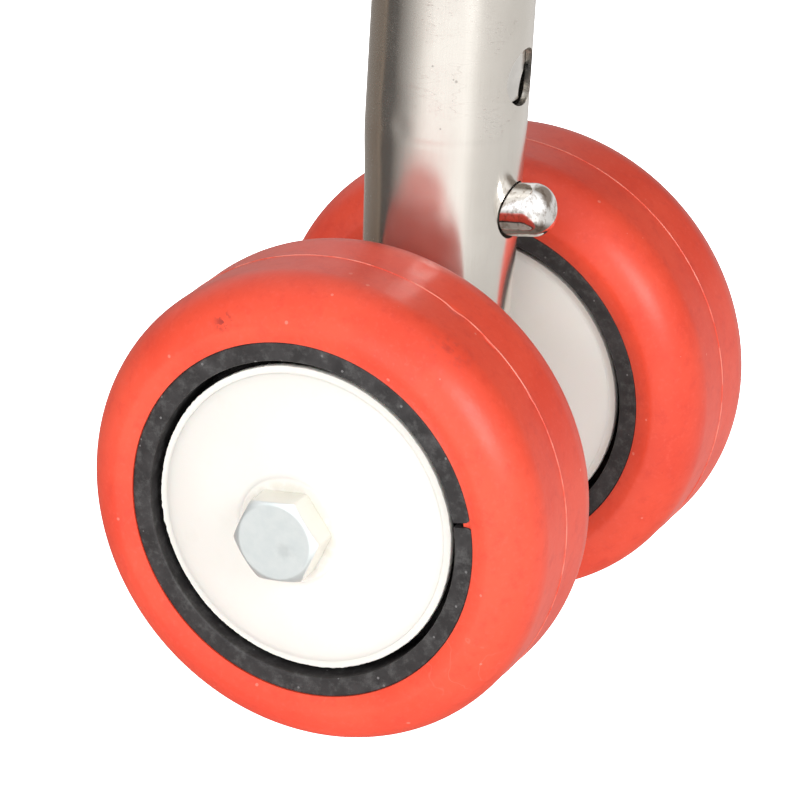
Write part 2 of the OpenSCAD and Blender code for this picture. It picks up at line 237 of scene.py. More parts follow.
# ---------------------------------------------------------------- material helpers
class Paint:
    """A material and its nodes. place is the point on the piece at rest, in metres in the shared frame.

    Scales of noise and specks are in cells per metre, and depths of bumps are in metres.
    """

    def __init__(self, name, **sockets):
        self.material = bpy.data.materials.new(name)
        self.material.use_nodes = True
        self.tree = self.material.node_tree
        self.shader = self.tree.nodes["Principled BSDF"]
        self.place = self.node("ShaderNodeTexCoord").outputs["Object"]
        for key, value in sockets.items():
            self.set(key.replace("_", " "), value)

    def set(self, socket, value):
        target = self.shader.inputs[socket]
        if isinstance(value, bpy.types.NodeSocket):
            self.tree.links.new(value, target)
        else:
            target.default_value = (*value, 1) if isinstance(value, tuple) else value

    def node(self, kind, inputs=None, **settings):
        made = self.tree.nodes.new(kind)
        for key, value in settings.items():
            setattr(made, key, value)
        for key, value in (inputs or {}).items():
            if isinstance(value, bpy.types.NodeSocket):
                self.tree.links.new(value, made.inputs[key])
            else:
                made.inputs[key].default_value = value
        return made

    def math(self, operation, a, b=0.0, clamp=False):
        return self.node("ShaderNodeMath", {0: a, 1: b}, operation=operation, use_clamp=clamp).outputs[0]

    def split(self, vector):
        """The three parts of a vector."""
        return self.node("ShaderNodeSeparateXYZ", {0: vector}).outputs

    def stretch(self, place, x, y, z):
        return self.node("ShaderNodeVectorMath", {0: place, 1: (x, y, z)}, operation="MULTIPLY").outputs[0]

    def noise(self, scale, detail=3.0, rough=0.55, place=None):
        inputs = {"Vector": place or self.place, "Scale": scale, "Detail": detail, "Roughness": rough}
        return self.node("ShaderNodeTexNoise", inputs).outputs[0]

    def band(self, value, low, high):
        """0 below low, 1 above high, and smooth between; the other way round if low is over high."""
        inputs = {"Value": value, "From Min": low, "From Max": high}
        return self.node("ShaderNodeMapRange", inputs, interpolation_type="SMOOTHSTEP").outputs[0]

    def specks(self, scale, size, share, place=None):
        """Small round dots: about share of the cells hold one, size is a part of the cell."""
        cells = self.node("ShaderNodeTexVoronoi", {"Vector": place or self.place, "Scale": scale})
        pick = self.node("ShaderNodeSeparateColor", {0: cells.outputs["Color"]})
        chosen = self.math("LESS_THAN", pick.outputs[0], share)
        wide = self.math("MULTIPLY", pick.outputs[1], size)
        dot = self.math("LESS_THAN", cells.outputs["Distance"], wide)
        return self.math("MULTIPLY", chosen, dot)

    def spot(self, centre, radius, soft=0.5):
        """1 within radius of a point, fading to 0 a little further out."""
        away = self.node("ShaderNodeVectorMath", {0: self.place, 1: centre}, operation="DISTANCE")
        return self.band(away.outputs["Value"], radius * (1 + soft), radius * (1 - soft))

    def mix(self, amount, a, b):
        inputs = {0: amount}
        for index, colour in ((6, a), (7, b)):
            inputs[index] = (*colour, 1) if isinstance(colour, tuple) else colour
        return self.node("ShaderNodeMix", inputs, data_type="RGBA").outputs[2]

    def blend(self, amount, a, b):
        return self.node("ShaderNodeMix", {0: amount, 2: a, 3: b}, data_type="FLOAT").outputs[0]

    def bump(self, *layers):
        """Adds layers of (height, depth in metres) to the surface's slope."""
        slope = None
        for height, depth in layers:
            inputs = {"Height": height, "Distance": depth, "Strength": 1.0}
            if slope:
                inputs["Normal"] = slope
            slope = self.node("ShaderNodeBump", inputs).outputs[0]
        self.set("Normal", slope)

    def round_leg(self):
        """(distance round the leg, height) in metres as a vector, for marks that follow the tube."""
        x, y, z = self.split(self.place)
        around = self.math("MULTIPLY", self.math("ARCTAN2", y, x), TUBE_R)
        return self.node("ShaderNodeCombineXYZ", {0: around, 1: 0.0, 2: z}).outputs[0]


def wheel_point(angle, radius, side, out):
    """A point on a wheel: angle in degrees and radius in mm round the axle, out in mm from its middle."""
    turn = math.radians(angle)
    y = side * (WHEEL_Y + out * MM)
    return (radius * MM * math.cos(turn), y, AXLE_Z + radius * MM * math.sin(turn))


def leg_point(angle, height):
    """A point on the leg's skin: angle in degrees from +X, height in mm above the axle."""
    turn = math.radians(angle)
    return (TUBE_R * math.cos(turn), TUBE_R * math.sin(turn), AXLE_Z + height * MM)


def red_rubber():
    p = Paint("red_tyre", Specular_IOR_Level=0.5)
    cloud = p.noise(45, 4)
    colour = p.mix(p.band(cloud, 0.35, 0.65), (0.74, 0.058, 0.025), (0.81, 0.080, 0.037))
    mottle = p.math("MULTIPLY", p.band(p.noise(420, 5, 0.7), 0.48, 0.70), 0.35)
    colour = p.mix(mottle, colour, (0.62, 0.040, 0.022))
    fine = p.band(p.noise(1400, 3), 0.5, 0.8)
    colour = p.mix(p.math("MULTIPLY", fine, 0.30), colour, (0.85, 0.12, 0.08))
    # the mould's parting line round the middle of the tread, painted pale along its ridge as a highlight,
    # in broken dashes
    side = p.math("ABSOLUTE", p.split(p.place)[1])
    off_middle = p.math("ABSOLUTE", p.math("SUBTRACT", side, WHEEL_Y))
    line = p.band(off_middle, 0.22 * MM, 0.08 * MM)
    broken = p.band(p.noise(160, 4), 0.42, 0.56)
    line = p.math("MULTIPLY", line, p.math("MULTIPLY", broken, 0.5))
    colour = p.mix(line, colour, (0.93, 0.42, 0.33))
    # pale dust and dark grit
    dust = p.specks(520, 0.16, 0.1)
    colour = p.mix(p.math("MULTIPLY", dust, 0.28), colour, (0.95, 0.45, 0.36))
    grit = p.specks(210, 0.09, 0.06)
    colour = p.mix(p.math("MULTIPLY", grit, 0.6), colour, (0.30, 0.012, 0.010))
    # a smudge on the near tread, then a dark mark and a faint swirl on the near face
    smudge = p.spot(wheel_point(56, 38.1, -1, 9.5), 3.0 * MM, 0.9)
    smudge = p.math("MULTIPLY", smudge, p.band(p.noise(700, 4), 0.45, 0.7))
    colour = p.mix(p.math("MULTIPLY", smudge, 0.5), colour, (0.40, 0.03, 0.025))
    mark = p.spot(wheel_point(115.7, 33.4, -1, 15.1), 1.4 * MM, 0.8)
    mark = p.math("MULTIPLY", mark, p.band(p.noise(900), 0.5, 0.6))
    colour = p.mix(p.math("MULTIPLY", mark, 0.8), colour, (0.18, 0.02, 0.02))
    swirl_area = p.spot(wheel_point(-31, 32.5, -1, 15.0), 6.0 * MM, 0.6)
    swirl = p.math("ABSOLUTE", p.math("SUBTRACT", p.noise(210, 2, 0.4), 0.5))
    swirl = p.math("MULTIPLY", p.band(swirl, 0.012, 0.004), swirl_area)
    colour = p.mix(p.math("MULTIPLY", swirl, 0.12), colour, (0.95, 0.40, 0.30))
    p.set("Base Color", colour)
    p.set("Roughness", p.blend(p.noise(220, 4), 0.32, 0.46))
    p.set("Sheen Weight", 0.03)
    p.set("Sheen Roughness", 0.35)
    p.set("Sheen Tint", (1.0, 0.86, 0.85))
    p.bump((p.noise(900, 4), 0.03 * MM), (p.noise(130, 2), 0.06 * MM), (dust, 0.03 * MM))
    return p.material


def black_plastic():
    p = Paint("black_core", Specular_IOR_Level=0.4)
    colour = p.mix(p.band(p.noise(300, 5), 0.35, 0.75), (0.022, 0.020, 0.020), (0.040, 0.037, 0.037))
    dust = p.specks(900, 0.22, 0.12)
    colour = p.mix(p.math("MULTIPLY", dust, 0.5), colour, (0.26, 0.25, 0.25))
    bloom = p.math("MULTIPLY", p.band(p.noise(520, 6, 0.75), 0.46, 0.68), 0.45)
    colour = p.mix(bloom, colour, (0.11, 0.108, 0.105))
    p.set("Base Color", colour)
    p.set("Roughness", p.blend(p.noise(500, 3), 0.48, 0.70))
    p.bump((p.noise(1600, 4), 0.04 * MM), (p.noise(260, 3), 0.04 * MM))
    return p.material


def ivory_plastic():
    p = Paint("ivory_guard", Specular_IOR_Level=0.35)
    colour = p.mix(p.band(p.noise(40, 3), 0.3, 0.7), (0.762, 0.737, 0.690), (0.737, 0.709, 0.658))
    grime = p.math("MULTIPLY", p.band(p.noise(210, 5, 0.65), 0.56, 0.78), 0.14)
    colour = p.mix(grime, colour, (0.62, 0.57, 0.48))
    specks = p.specks(170, 0.055, 0.10)
    colour = p.mix(p.math("MULTIPLY", specks, 0.7), colour, (0.25, 0.22, 0.18))
    for angle, radius in FLECKS:
        fleck = p.spot(wheel_point(angle, radius, -1, 16.2), 0.30 * MM, 0.5)
        colour = p.mix(p.math("MULTIPLY", fleck, 0.45), colour, (0.30, 0.27, 0.23))
    # a darker ring round the foot of the bolt head: grime, with painted shade where the head stands on the
    # guard
    x, _, z = p.split(p.place)
    drop = p.math("SUBTRACT", z, AXLE_Z)
    away = p.math("SQRT", p.math("ADD", p.math("POWER", x, 2.0), p.math("POWER", drop, 2.0)))
    grime_and_foot_shade = p.math("MULTIPLY", p.band(away, 8.8 * MM, 7.2 * MM), p.band(p.noise(600, 4), 0.30, 0.60))
    colour = p.mix(p.math("MULTIPLY", grime_and_foot_shade, 0.25), colour, (0.50, 0.46, 0.34))
    p.set("Base Color", colour)
    p.set("Roughness", p.blend(p.noise(300, 3), 0.40, 0.58))
    p.set("Subsurface Weight", 0.06)
    p.set("Subsurface Scale", 1 * MM)
    p.bump((p.noise(700, 4), 0.02 * MM), (p.noise(90, 2), 0.05 * MM))
    return p.material


def leg_metal():
    p = Paint("leg_steel", Metallic=0.93)
    skin = p.round_leg()
    lengthwise = p.noise(1, 4, 0.6, p.stretch(skin, 5200, 1, 110))
    crosswise = p.noise(1, 4, 0.6, p.stretch(skin, 160, 1, 4200))
    x, _, height = p.split(p.place)
    upper = p.band(height, NECK_TOP - 4 * MM, NECK_TOP + 6 * MM)
    worn = p.math("MULTIPLY", upper, p.band(p.noise(120, 4), 0.38, 0.66))
    colour = p.mix(p.band(p.noise(70, 4), 0.3, 0.7), (0.80, 0.768, 0.71), (0.76, 0.725, 0.665))
    tint = p.math("MULTIPLY", p.band(lengthwise, 0.35, 0.75), 0.14)
    colour = p.mix(tint, colour, (0.58, 0.54, 0.49))
    # rub marks above the neck line, where the leg slides in its socket; down its left side the same darker
    # marks are a painted dark reflection
    rubs_and_left_shade = p.band(p.noise(1, 5, 0.7, p.stretch(skin, 900, 1, 2600)), 0.56, 0.66)
    left_side_shade = p.band(x, 0.0, -11 * MM)
    rubs_and_left_shade = p.math("MULTIPLY", rubs_and_left_shade, p.math("ADD", worn, p.math("MULTIPLY", left_side_shade, 0.6), clamp=True))
    colour = p.mix(p.math("MULTIPLY", rubs_and_left_shade, 0.35), colour, (0.42, 0.37, 0.32))
    # thin scratches in patches, mostly above the neck line
    line = p.math("SUBTRACT", p.noise(1, 1, 0.5, p.stretch(skin, 150, 1, 640)), 0.5)
    line = p.band(p.math("ABSOLUTE", line), 0.014, 0.004)
    patches = p.band(p.noise(85, 3), 0.46, 0.62)
    share = p.math("ADD", p.math("MULTIPLY", upper, 0.7), 0.25)
    scratch = p.math("MULTIPLY", p.math("MULTIPLY", line, patches), share)
    colour = p.mix(p.math("MULTIPLY", scratch, 0.16), colour, (0.50, 0.45, 0.40))
    # dark brown specks above the neck line, and a few pits
    stain = p.math("MULTIPLY", p.specks(260, 0.12, 0.10), upper)
    colour = p.mix(p.math("MULTIPLY", stain, 0.6), colour, (0.14, 0.11, 0.09))
    for angle, up, size in PITS:
        pit = p.spot(leg_point(angle, up), size * MM, 0.6)
        colour = p.mix(p.math("MULTIPLY", pit, 0.45), colour, (0.12, 0.10, 0.08))
    p.set("Base Color", colour)
    rough = p.blend(p.band(p.noise(150, 4), 0.3, 0.7), 0.15, 0.20)
    for layer, amount in ((rubs_and_left_shade, 0.22), (worn, 0.08), (scratch, 0.08)):
        rough = p.math("ADD", rough, p.math("MULTIPLY", layer, amount))
    p.set("Roughness", rough)
    # fine rings from polishing spread each reflection up and down the leg
    p.set("Anisotropic", 0.85)
    p.set("Anisotropic Rotation", 0.25)
    p.set("Tangent", p.node("ShaderNodeTangent", direction_type="RADIAL", axis="Z").outputs[0])
    rings = p.math("MULTIPLY", crosswise, upper)
    p.bump((lengthwise, 0.0025 * MM), (rings, 0.003 * MM), (rubs_and_left_shade, 0.006 * MM), (p.noise(60, 2), 0.05 * MM))
    return p.material


def plain_metal(name, light, dark, gloss, grain, depth=0.01 * MM, metallic=1.0, flank=None):
    """A metal with fine grain: two tones, a shallow bump, and roughness that varies over gloss.

    flank, where it is given, is the tone of everything behind the face of the bolt head.
    """
    p = Paint(name, Metallic=metallic)
    tone = p.noise(grain, 4)
    colour = p.mix(p.band(tone, 0.3, 0.7), light, dark)
    if flank:
        across = p.math("ABSOLUTE", p.split(p.place)[1])
        colour = p.mix(p.band(across, HEAD_Y - 0.3 * MM, HEAD_Y - 0.8 * MM), colour, flank)
    stain = p.math("MULTIPLY", p.band(p.noise(grain * 0.3, 5), 0.58, 0.75), 0.35)
    colour = p.mix(stain, colour, tuple(0.6 * c for c in dark))
    p.set("Base Color", colour)
    p.set("Roughness", p.blend(p.noise(grain * 1.7, 3), *gloss))
    p.bump((tone, depth), (p.noise(grain * 3, 2), depth * 0.5))
    return p.material


def chrome_plate():
    p = Paint("button_chrome", Metallic=1.0)
    colour = p.mix(p.band(p.noise(300, 3), 0.4, 0.7), (0.90, 0.89, 0.87), (0.84, 0.82, 0.79))
    # brown smears: painted reflections of the brown surroundings, darkening the plate in patches
    brown_reflection = p.band(p.noise(900, 5, 0.7, p.stretch(p.place, 1, 1, 0.6)), 0.50, 0.62)
    colour = p.mix(p.math("MULTIPLY", brown_reflection, 0.6), colour, (0.34, 0.28, 0.23))
    pits = p.specks(1300, 0.22, 0.16)
    colour = p.mix(p.math("MULTIPLY", pits, 0.6), colour, (0.25, 0.22, 0.20))
    p.set("Base Color", colour)
    p.set("Roughness", p.blend(p.noise(700, 4), 0.05, 0.13))
    p.bump((p.noise(450, 3), 0.03 * MM), (p.noise(1600, 3), 0.008 * MM), (pits, 0.01 * MM))
    return p.material


# ---------------------------------------------------------------- the pieces
def make_tyre(name, side, body, material):
    """Flat tread with a parting line, wide soft shoulders, and a lip that slopes to the core ring."""
    flat = TYRE_HALF - SHOULDER_R
    arc_r = TYRE_R - SHOULDER_R
    tread = TYRE_R - 0.10 * MM
    ridge = 0.16 * MM
    arc_end = 76
    face_r = arc_r + SHOULDER_R * math.cos(math.radians(arc_end))
    face_z = flat + SHOULDER_R * math.sin(math.radians(arc_end))
    lip = CORE_HALF + 0.12 * MM
    lip_r = CORE_R + 0.2 * MM
    right_half = [(CORE_R, 0.0), (CORE_R, CORE_HALF - 0.2 * MM), (CORE_R + 0.06 * MM, lip - 0.06 * MM)]
    for k in range(8):
        share = k / 8
        rise = math.sin(share * math.pi / 2) ** 0.9
        right_half.append((lip_r + (face_r - lip_r) * share, lip + (face_z - lip) * rise))
    right_half += arc(arc_r, flat, SHOULDER_R, arc_end, 0, steps=24)
    right_half += [(TYRE_R - 0.02 * MM, flat * 0.72), (tread + 0.04 * MM, flat * 0.42)]
    right_half += [(tread, flat * k) for k in (0.28, 0.16, 0.08)]
    right_half += [(tread, ridge), (tread + 0.03 * MM, ridge * 0.7), (TYRE_R, ridge * 0.3)]
    left_half = [(r, -z) for r, z in reversed(right_half[1:])]
    nicks = NICKS if side < 0 else ()

    def shape(r, z, angle, index):
        if r < CORE_R + 0.5 * MM:
            return r, z
        r += 0.03 * MM * min(0.0, round_wobble(angle, 3.0, 5.0 + side) - 0.3)
        if abs(z) < 1 * MM:
            z += 0.05 * MM * wobble(math.cos(angle) * 4, math.sin(angle) * 4, side * 3)
        for turn, out, size in nicks:
            along = turn_from(angle, turn) * TYRE_R / (size * 1.6 * MM)
            across = (z - out * MM) / (size * 0.6 * MM)
            r -= 0.28 * MM * size * math.exp(-along * along - across * across)
        return r, z

    mesh = bmesh.new()
    matrix = wheel_matrix(side)
    spin(mesh, right_half + left_half, matrix, segments=640, shape=shape)
    # a tongue of tyre material that ran into the ring's slit: mm inwards of the tyre, mm to each side
    widths = ((-0.2, 1.15), (0.25, 0.75), (0.7, 0.42), (1.3, 0.30))
    tongue = [(CORE_R - inwards * MM, w * MM) for inwards, w in widths]
    outline = tongue + [(r, -w) for r, w in reversed(tongue)]
    turned = matrix @ Matrix.Rotation(SLIT_TURN, 4, "Z")
    prism(mesh, turned, outline, CORE_HALF - SLIT_DEEP + 0.2 * MM, CORE_HALF - 0.35 * MM)
    return piece(name, mesh, material, body, name.replace("tread", "tyre"))


def slit_cutter(matrix):
    """A prism across the ring's face, with flared round corners at the tyre's side."""
    flare = 0.8 * MM
    past = 1 * MM
    side_line = [(CORE_R - RING_T - past, SLIT_HALF), (CORE_R - flare, SLIT_HALF)]
    for k in range(1, 7):
        t = math.radians(15 * k)
        side_line.append((CORE_R - flare + flare * math.sin(t), SLIT_HALF + flare * (1 - math.cos(t))))
    side_line.append((CORE_R + past, SLIT_HALF + flare))
    outline = side_line + [(r, -w) for r, w in reversed(side_line)]
    mesh = bmesh.new()
    turned = matrix @ Matrix.Rotation(SLIT_TURN, 4, "Z")
    prism(mesh, turned, outline, CORE_HALF - SLIT_DEEP, CORE_HALF + past)
    bmesh.ops.recalc_face_normals(mesh, faces=mesh.faces)
    return mesh


def cut(obj, cutters):
    """Takes closed shapes away from a piece and applies the result."""
    for cutter in cutters:
        data = bpy.data.meshes.new("cutter")
        cutter.to_mesh(data)
        cutter.free()
        tool = bpy.data.objects.new("cutter", data)
        bpy.context.scene.collection.objects.link(tool)
        step = obj.modifiers.new("cut", "BOOLEAN")
        step.operation = "DIFFERENCE"
        step.solver = "EXACT"
        step.object = tool
        bpy.context.view_layer.update()
        result = bpy.data.meshes.new_from_object(obj.evaluated_get(bpy.context.evaluated_depsgraph_get()))
        obj.modifiers.remove(step)
        bpy.data.objects.remove(tool)
        bpy.data.meshes.remove(data)
        obj.data = result


def make_core(name, side, body, material):
    """Ring, web and hub, with bearing seats and the narrow slit across the ring's outer face."""
    ring_in = CORE_R - RING_T
    edge = 0.35 * MM
    half = [
        (CORE_R, CORE_HALF, edge), (ring_in, CORE_HALF, edge), (ring_in, WEB_HALF, 1.0 * MM),
        (HUB_R, WEB_HALF, 1.0 * MM), (HUB_R, SEAT_OUT, 0.6 * MM), (SEAT_R, SEAT_OUT, 0.3 * MM),
        (SEAT_R, SEAT_IN, 0), (SEAT_R - 1.5 * MM, SEAT_IN, 0)]
    corners = half + [(r, -z, f) for r, z, f in reversed(half)]

    def shape(r, z, angle, index):
        if abs(z) > CORE_HALF - 1 * MM and r > ring_in - 1e-6:
            z += math.copysign(0.06 * MM * min(0.0, round_wobble(angle, 5.0, 9.0)), z)
        return r, z

    mesh = bmesh.new()
    matrix = wheel_matrix(side)
    spin(mesh, rounded(corners, steps=5), matrix, segments=320, shape=shape)
    obj = piece(name, mesh, material, body, name.replace("rim", "core"), weighted=False)
    cut(obj, [slit_cutter(matrix)])
    smooth(obj)
    return obj


def make_guard(name, side, inner, material, seed):
    """Shallow dome with a raised boss, a step round its edge and a slightly ragged moulded rim."""
    dome_r = GUARD_R - RIM_W
    dome_z = GUARD_RIM + STEP_H
    dome_h = GUARD_TOP - STEP_H - dome_z
    below = (dome_r ** 2 - BOSS_R ** 2 - dome_h ** 2) / (2 * dome_h)
    big_r = math.hypot(dome_r, below)
    centre_z = dome_z - below
    edge = 0.10 * MM

    def height(r, radius):
        return centre_z + math.sqrt(radius ** 2 - r ** 2)

    profile = [(BORE_R, SEAT_OUT), (BORE_R, GUARD_TOP - edge), (BORE_R + edge, GUARD_TOP)]
    profile += [(BOSS_R - 0.35 * MM, GUARD_TOP), (BOSS_R - 0.12 * MM, GUARD_TOP - 0.04 * MM)]
    boss_foot = BOSS_R + 0.15 * MM
    profile += [(BOSS_R + 0.02 * MM, GUARD_TOP - 0.18 * MM), (boss_foot, height(boss_foot, big_r))]
    steps = 18
    for k in range(1, steps):
        r = BOSS_R + (dome_r - 0.25 * MM - BOSS_R) * k / steps
        profile.append((r, height(r, big_r)))
    profile += [(dome_r - 0.10 * MM, dome_z - 0.01 * MM), (dome_r - 0.02 * MM, dome_z - 0.08 * MM)]
    profile += [(dome_r + 0.03 * MM, GUARD_RIM + 0.08 * MM), (dome_r + 0.16 * MM, GUARD_RIM)]
    profile += [(GUARD_R - 0.30 * MM, GUARD_RIM), (GUARD_R - 0.08 * MM, GUARD_RIM + 0.02 * MM)]
    profile += [(GUARD_R, GUARD_RIM - 0.12 * MM), (GUARD_R - 0.05 * MM, GUARD_RIM - GUARD_T + 0.2 * MM)]
    profile += [(GUARD_R - 0.25 * MM, GUARD_RIM - GUARD_T), (dome_r - GUARD_T, GUARD_RIM - GUARD_T)]
    for k in range(13):
        r = dome_r - GUARD_T + (POST_R - dome_r + GUARD_T) * k / 12
        profile.append((r, max(height(r, big_r - GUARD_T), GUARD_RIM - GUARD_T + 0.01 * MM)))
    profile.append((POST_R, SEAT_OUT))
    rim_from = GUARD_R - 0.35 * MM

    def shape(r, z, angle, index):
        if r > rim_from:
            ragged = max(0.0, round_wobble(angle, 2.2, seed)) * (0.55 + round_wobble(angle, 34.0, seed + 2))
            r += 0.38 * MM * ragged - 0.12 * MM * max(0.0, round_wobble(angle, 60.0, seed + 4))
        elif r > dome_r - 0.3 * MM and z > GUARD_RIM - 0.5 * MM:
            r += 0.05 * MM * round_wobble(angle, 9.0, seed + 6)
        return r, z

    mesh = bmesh.new()
    spin(mesh, profile, wheel_matrix(side, flip=inner), segments=480, shape=shape)
    return piece(name, mesh, material, "leg", name.replace("cap", "guard"), crease=50)


def hex_radius(angle, apothem):
    """Radius of a hexagon with slightly rounded corners, at an angle."""
    softness = 46
    total = sum(max(math.cos(angle - k * math.pi / 3 - math.pi / 6), 0.0) ** softness for k in range(6))
    return apothem * total ** (-1 / softness)


def hexagon(mesh, matrix, apothem, height, bore, turn):
    """A hexagon head or nut with a chamfered round top. Rows run from the bore up the sides to the top."""
    face_r = apothem * 0.95
    slope = math.tan(math.radians(30))
    rows = 26

    def shape(r, z, angle, index):
        reach = hex_radius(angle - turn, apothem)
        fall = max(0.0, reach - face_r) * slope
        sides = (
            (bore, 0.0), (reach - 0.12 * MM, 0.0), (reach, 0.12 * MM), (reach, (height - fall) * 0.5),
            (reach, height - fall - 0.10 * MM), (reach - 0.03 * MM, height - fall - 0.02 * MM),
            ((face_r + reach) / 2, height - fall / 2), (face_r, height - 0.02 * MM),
            (face_r - 0.15 * MM, height))
        if index < len(sides):
            return sides[index]
        share = (index - len(sides)) / (rows - len(sides) - 1)
        return (face_r - 0.3 * MM) * (1 - share) + bore * share, height

    spin(mesh, [(0.0, 0.0)] * rows, matrix, segments=288, shape=shape)


def make_bolt(material):
    """Hexagon head, plain shank and a rolled thread at the tip."""
    mesh = bmesh.new()
    matrix = axle_matrix(SEAT_Y, -1)
    hexagon(mesh, matrix, HEX_AF / 2, HEAD_Y - SEAT_Y, bore=0.01 * MM, turn=HEAD_TURN)
    length = bolt_high.y + SEAT_Y
    thread = 14 * MM
    pitch = 1.25 * MM
    depth = 0.62 * MM
    tip_r = BOLT_R - 0.7 * MM
    axis_r = 0.02 * MM
    rows = [(axis_r, 0.2 * MM), (BOLT_R, 0.2 * MM), (BOLT_R, -length / 2), (BOLT_R, -length + thread)]
    steps = 84
    rows += [(BOLT_R, -length + thread * (1 - k / steps)) for k in range(1, steps)]
    rows += [(tip_r, -length), (axis_r, -length)]

    def shape(r, z, angle, index):
        if 3 < index < 3 + steps:
            phase = (z / pitch + angle / (2 * math.pi)) % 1.0
            r -= depth * abs(2 * phase - 1) ** 1.2
            r = min(r, tip_r + max(0.0, z + length))
        return r, z

    spin(mesh, rows, matrix, segments=72, shape=shape)
    return piece("bolt", mesh, material, "leg", "axle_bolt", crease=28)


def make_nut(material):
    """Lock nut: hexagon with a round crimped collar."""
    mesh = bmesh.new()
    matrix = axle_matrix(nut_low.y, 1)
    collar = nut_high.y - nut_low.y
    hex_h = collar - 1.6 * MM
    bore = BOLT_R + 0.03 * MM
    hexagon(mesh, matrix, HEX_AF / 2, hex_h, bore, turn=0.4)
    outer = HEX_AF / 2 - 0.9 * MM
    corners = [
        (bore, hex_h - 1 * MM, 0), (outer, hex_h - 1 * MM, 0), (outer, collar, 0.7 * MM),
        (BOLT_R + 0.9 * MM, collar, 0.25 * MM), (BOLT_R + 0.7 * MM, collar - 0.5 * MM, 0.1 * MM),
        (bore, collar - 0.6 * MM, 0.1 * MM)]
    spin(mesh, rounded(corners, steps=5), matrix, segments=144)
    return piece("nut", mesh, material, "leg", "lock_nut")


def make_washer(name, node, material):
    """Punched washer with one rolled edge."""
    low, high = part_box(node)
    thick = high.y - low.y
    radius = (high.x - low.x) / 2
    hole = BORE_R + 0.1 * MM
    corners = [
        (hole, 0, 0.1 * MM), (radius, 0, 0.15 * MM), (radius, thick, 0.4 * MM), (hole, thick, 0.2 * MM)]
    mesh = bmesh.new()
    spin(mesh, rounded(corners, steps=4), axle_matrix(low.y, 1), segments=160)
    return piece(name, mesh, material, "leg", node)


def leg_radius(z):
    """Outside radius of the leg at a height: necked towards the foot."""
    share = min(1.0, max(0.0, (NECK_TOP - z) / (NECK_TOP - NECK_BOTTOM)))
    soft = 0.12
    if share < soft:
        share = share * share / (2 * soft)
    else:
        share = (share - soft / 2) / (1 - soft / 2)
    return TUBE_R + (NECK_R - TUBE_R) * share


def leg_skin(angle, z):
    """Radius of the leg's skin with its forming line and small dents."""
    r = leg_radius(z)
    # the front keeps its full width further down than the sides
    front = max(0.0, math.cos(turn_from(angle, -66))) ** 2
    low = ease((AXLE_Z + 32 * MM - z) / (14 * MM))
    r += front * (TUBE_R - (TUBE_R - NECK_R) * low - r)
    # a faint line where the neck was formed
    r -= 0.012 * MM * math.exp(-(((z - NECK_TOP - 0.4 * MM) / (0.35 * MM)) ** 2))
    # the necked stretch is pressed in a little on its left
    side_on = max(0.0, math.cos(turn_from(angle, -158)))
    r -= 0.30 * MM * side_on ** 3 * ease((NECK_TOP - z) / (12 * MM))
    for turn, height, size, deep in DENTS:
        away = (turn_from(angle, turn) * TUBE_R) ** 2 + (z - AXLE_Z - height * MM) ** 2
        r -= deep * MM * math.exp(-away / (size * MM) ** 2)
    r -= 0.035 * MM * (0.5 + 0.5 * wobble(math.cos(angle) * 1.6, math.sin(angle) * 1.6, z * 45))
    return r


def cylinder(radius, length, matrix):
    """A closed round cutter along local Z, centred on the matrix."""
    mesh = bmesh.new()
    bmesh.ops.create_cone(
        mesh, cap_ends=True, segments=128, radius1=radius, radius2=radius, depth=length, matrix=matrix)
    return mesh


def skin_normal(angle, z):
    """The leg's outward direction, from the slope of its skin up and round."""
    up = 0.002 * MM
    around = 0.001
    slope_z = (leg_skin(angle, z + up) - leg_skin(angle, z - up)) / (2 * up)
    slope_t = (leg_skin(angle + around, z) - leg_skin(angle - around, z)) / (2 * around * TUBE_R)
    out = Vector((math.cos(angle), math.sin(angle), -slope_z))
    return (out + Vector((math.sin(angle), -math.cos(angle), 0)) * slope_t).normalized()


def leg_normals(data):
    """Smooth normals on the leg's skin and its lining, and flat ones on the walls of the holes."""
    normals = []
    for face in data.polygons:
        corners = [data.vertices[v].co for v in face.vertices]
        turns = [math.atan2(c.y, c.x) for c in corners]
        between_ends = all(LEG_FOOT + 0.2 * MM < c.z < LEG_TOP - 0.3 * MM for c in corners)
        on_skin = between_ends and all(
            abs(math.hypot(c.x, c.y) - leg_skin(t, c.z)) < 0.008 * MM for c, t in zip(corners, turns))
        lining = not on_skin and abs(face.normal.z) < 0.1 and face.normal.dot(face.center) < 0
        for c, t in zip(corners, turns):
            if on_skin:
                normals.append(skin_normal(t, c.z))
            elif lining and math.hypot(c.x, c.y) < NECK_R - 0.3 * MM:
                normals.append(Vector((-math.cos(t), -math.sin(t), 0)))
            else:
                normals.append(face.normal.copy())
    data.normals_split_custom_set(normals)


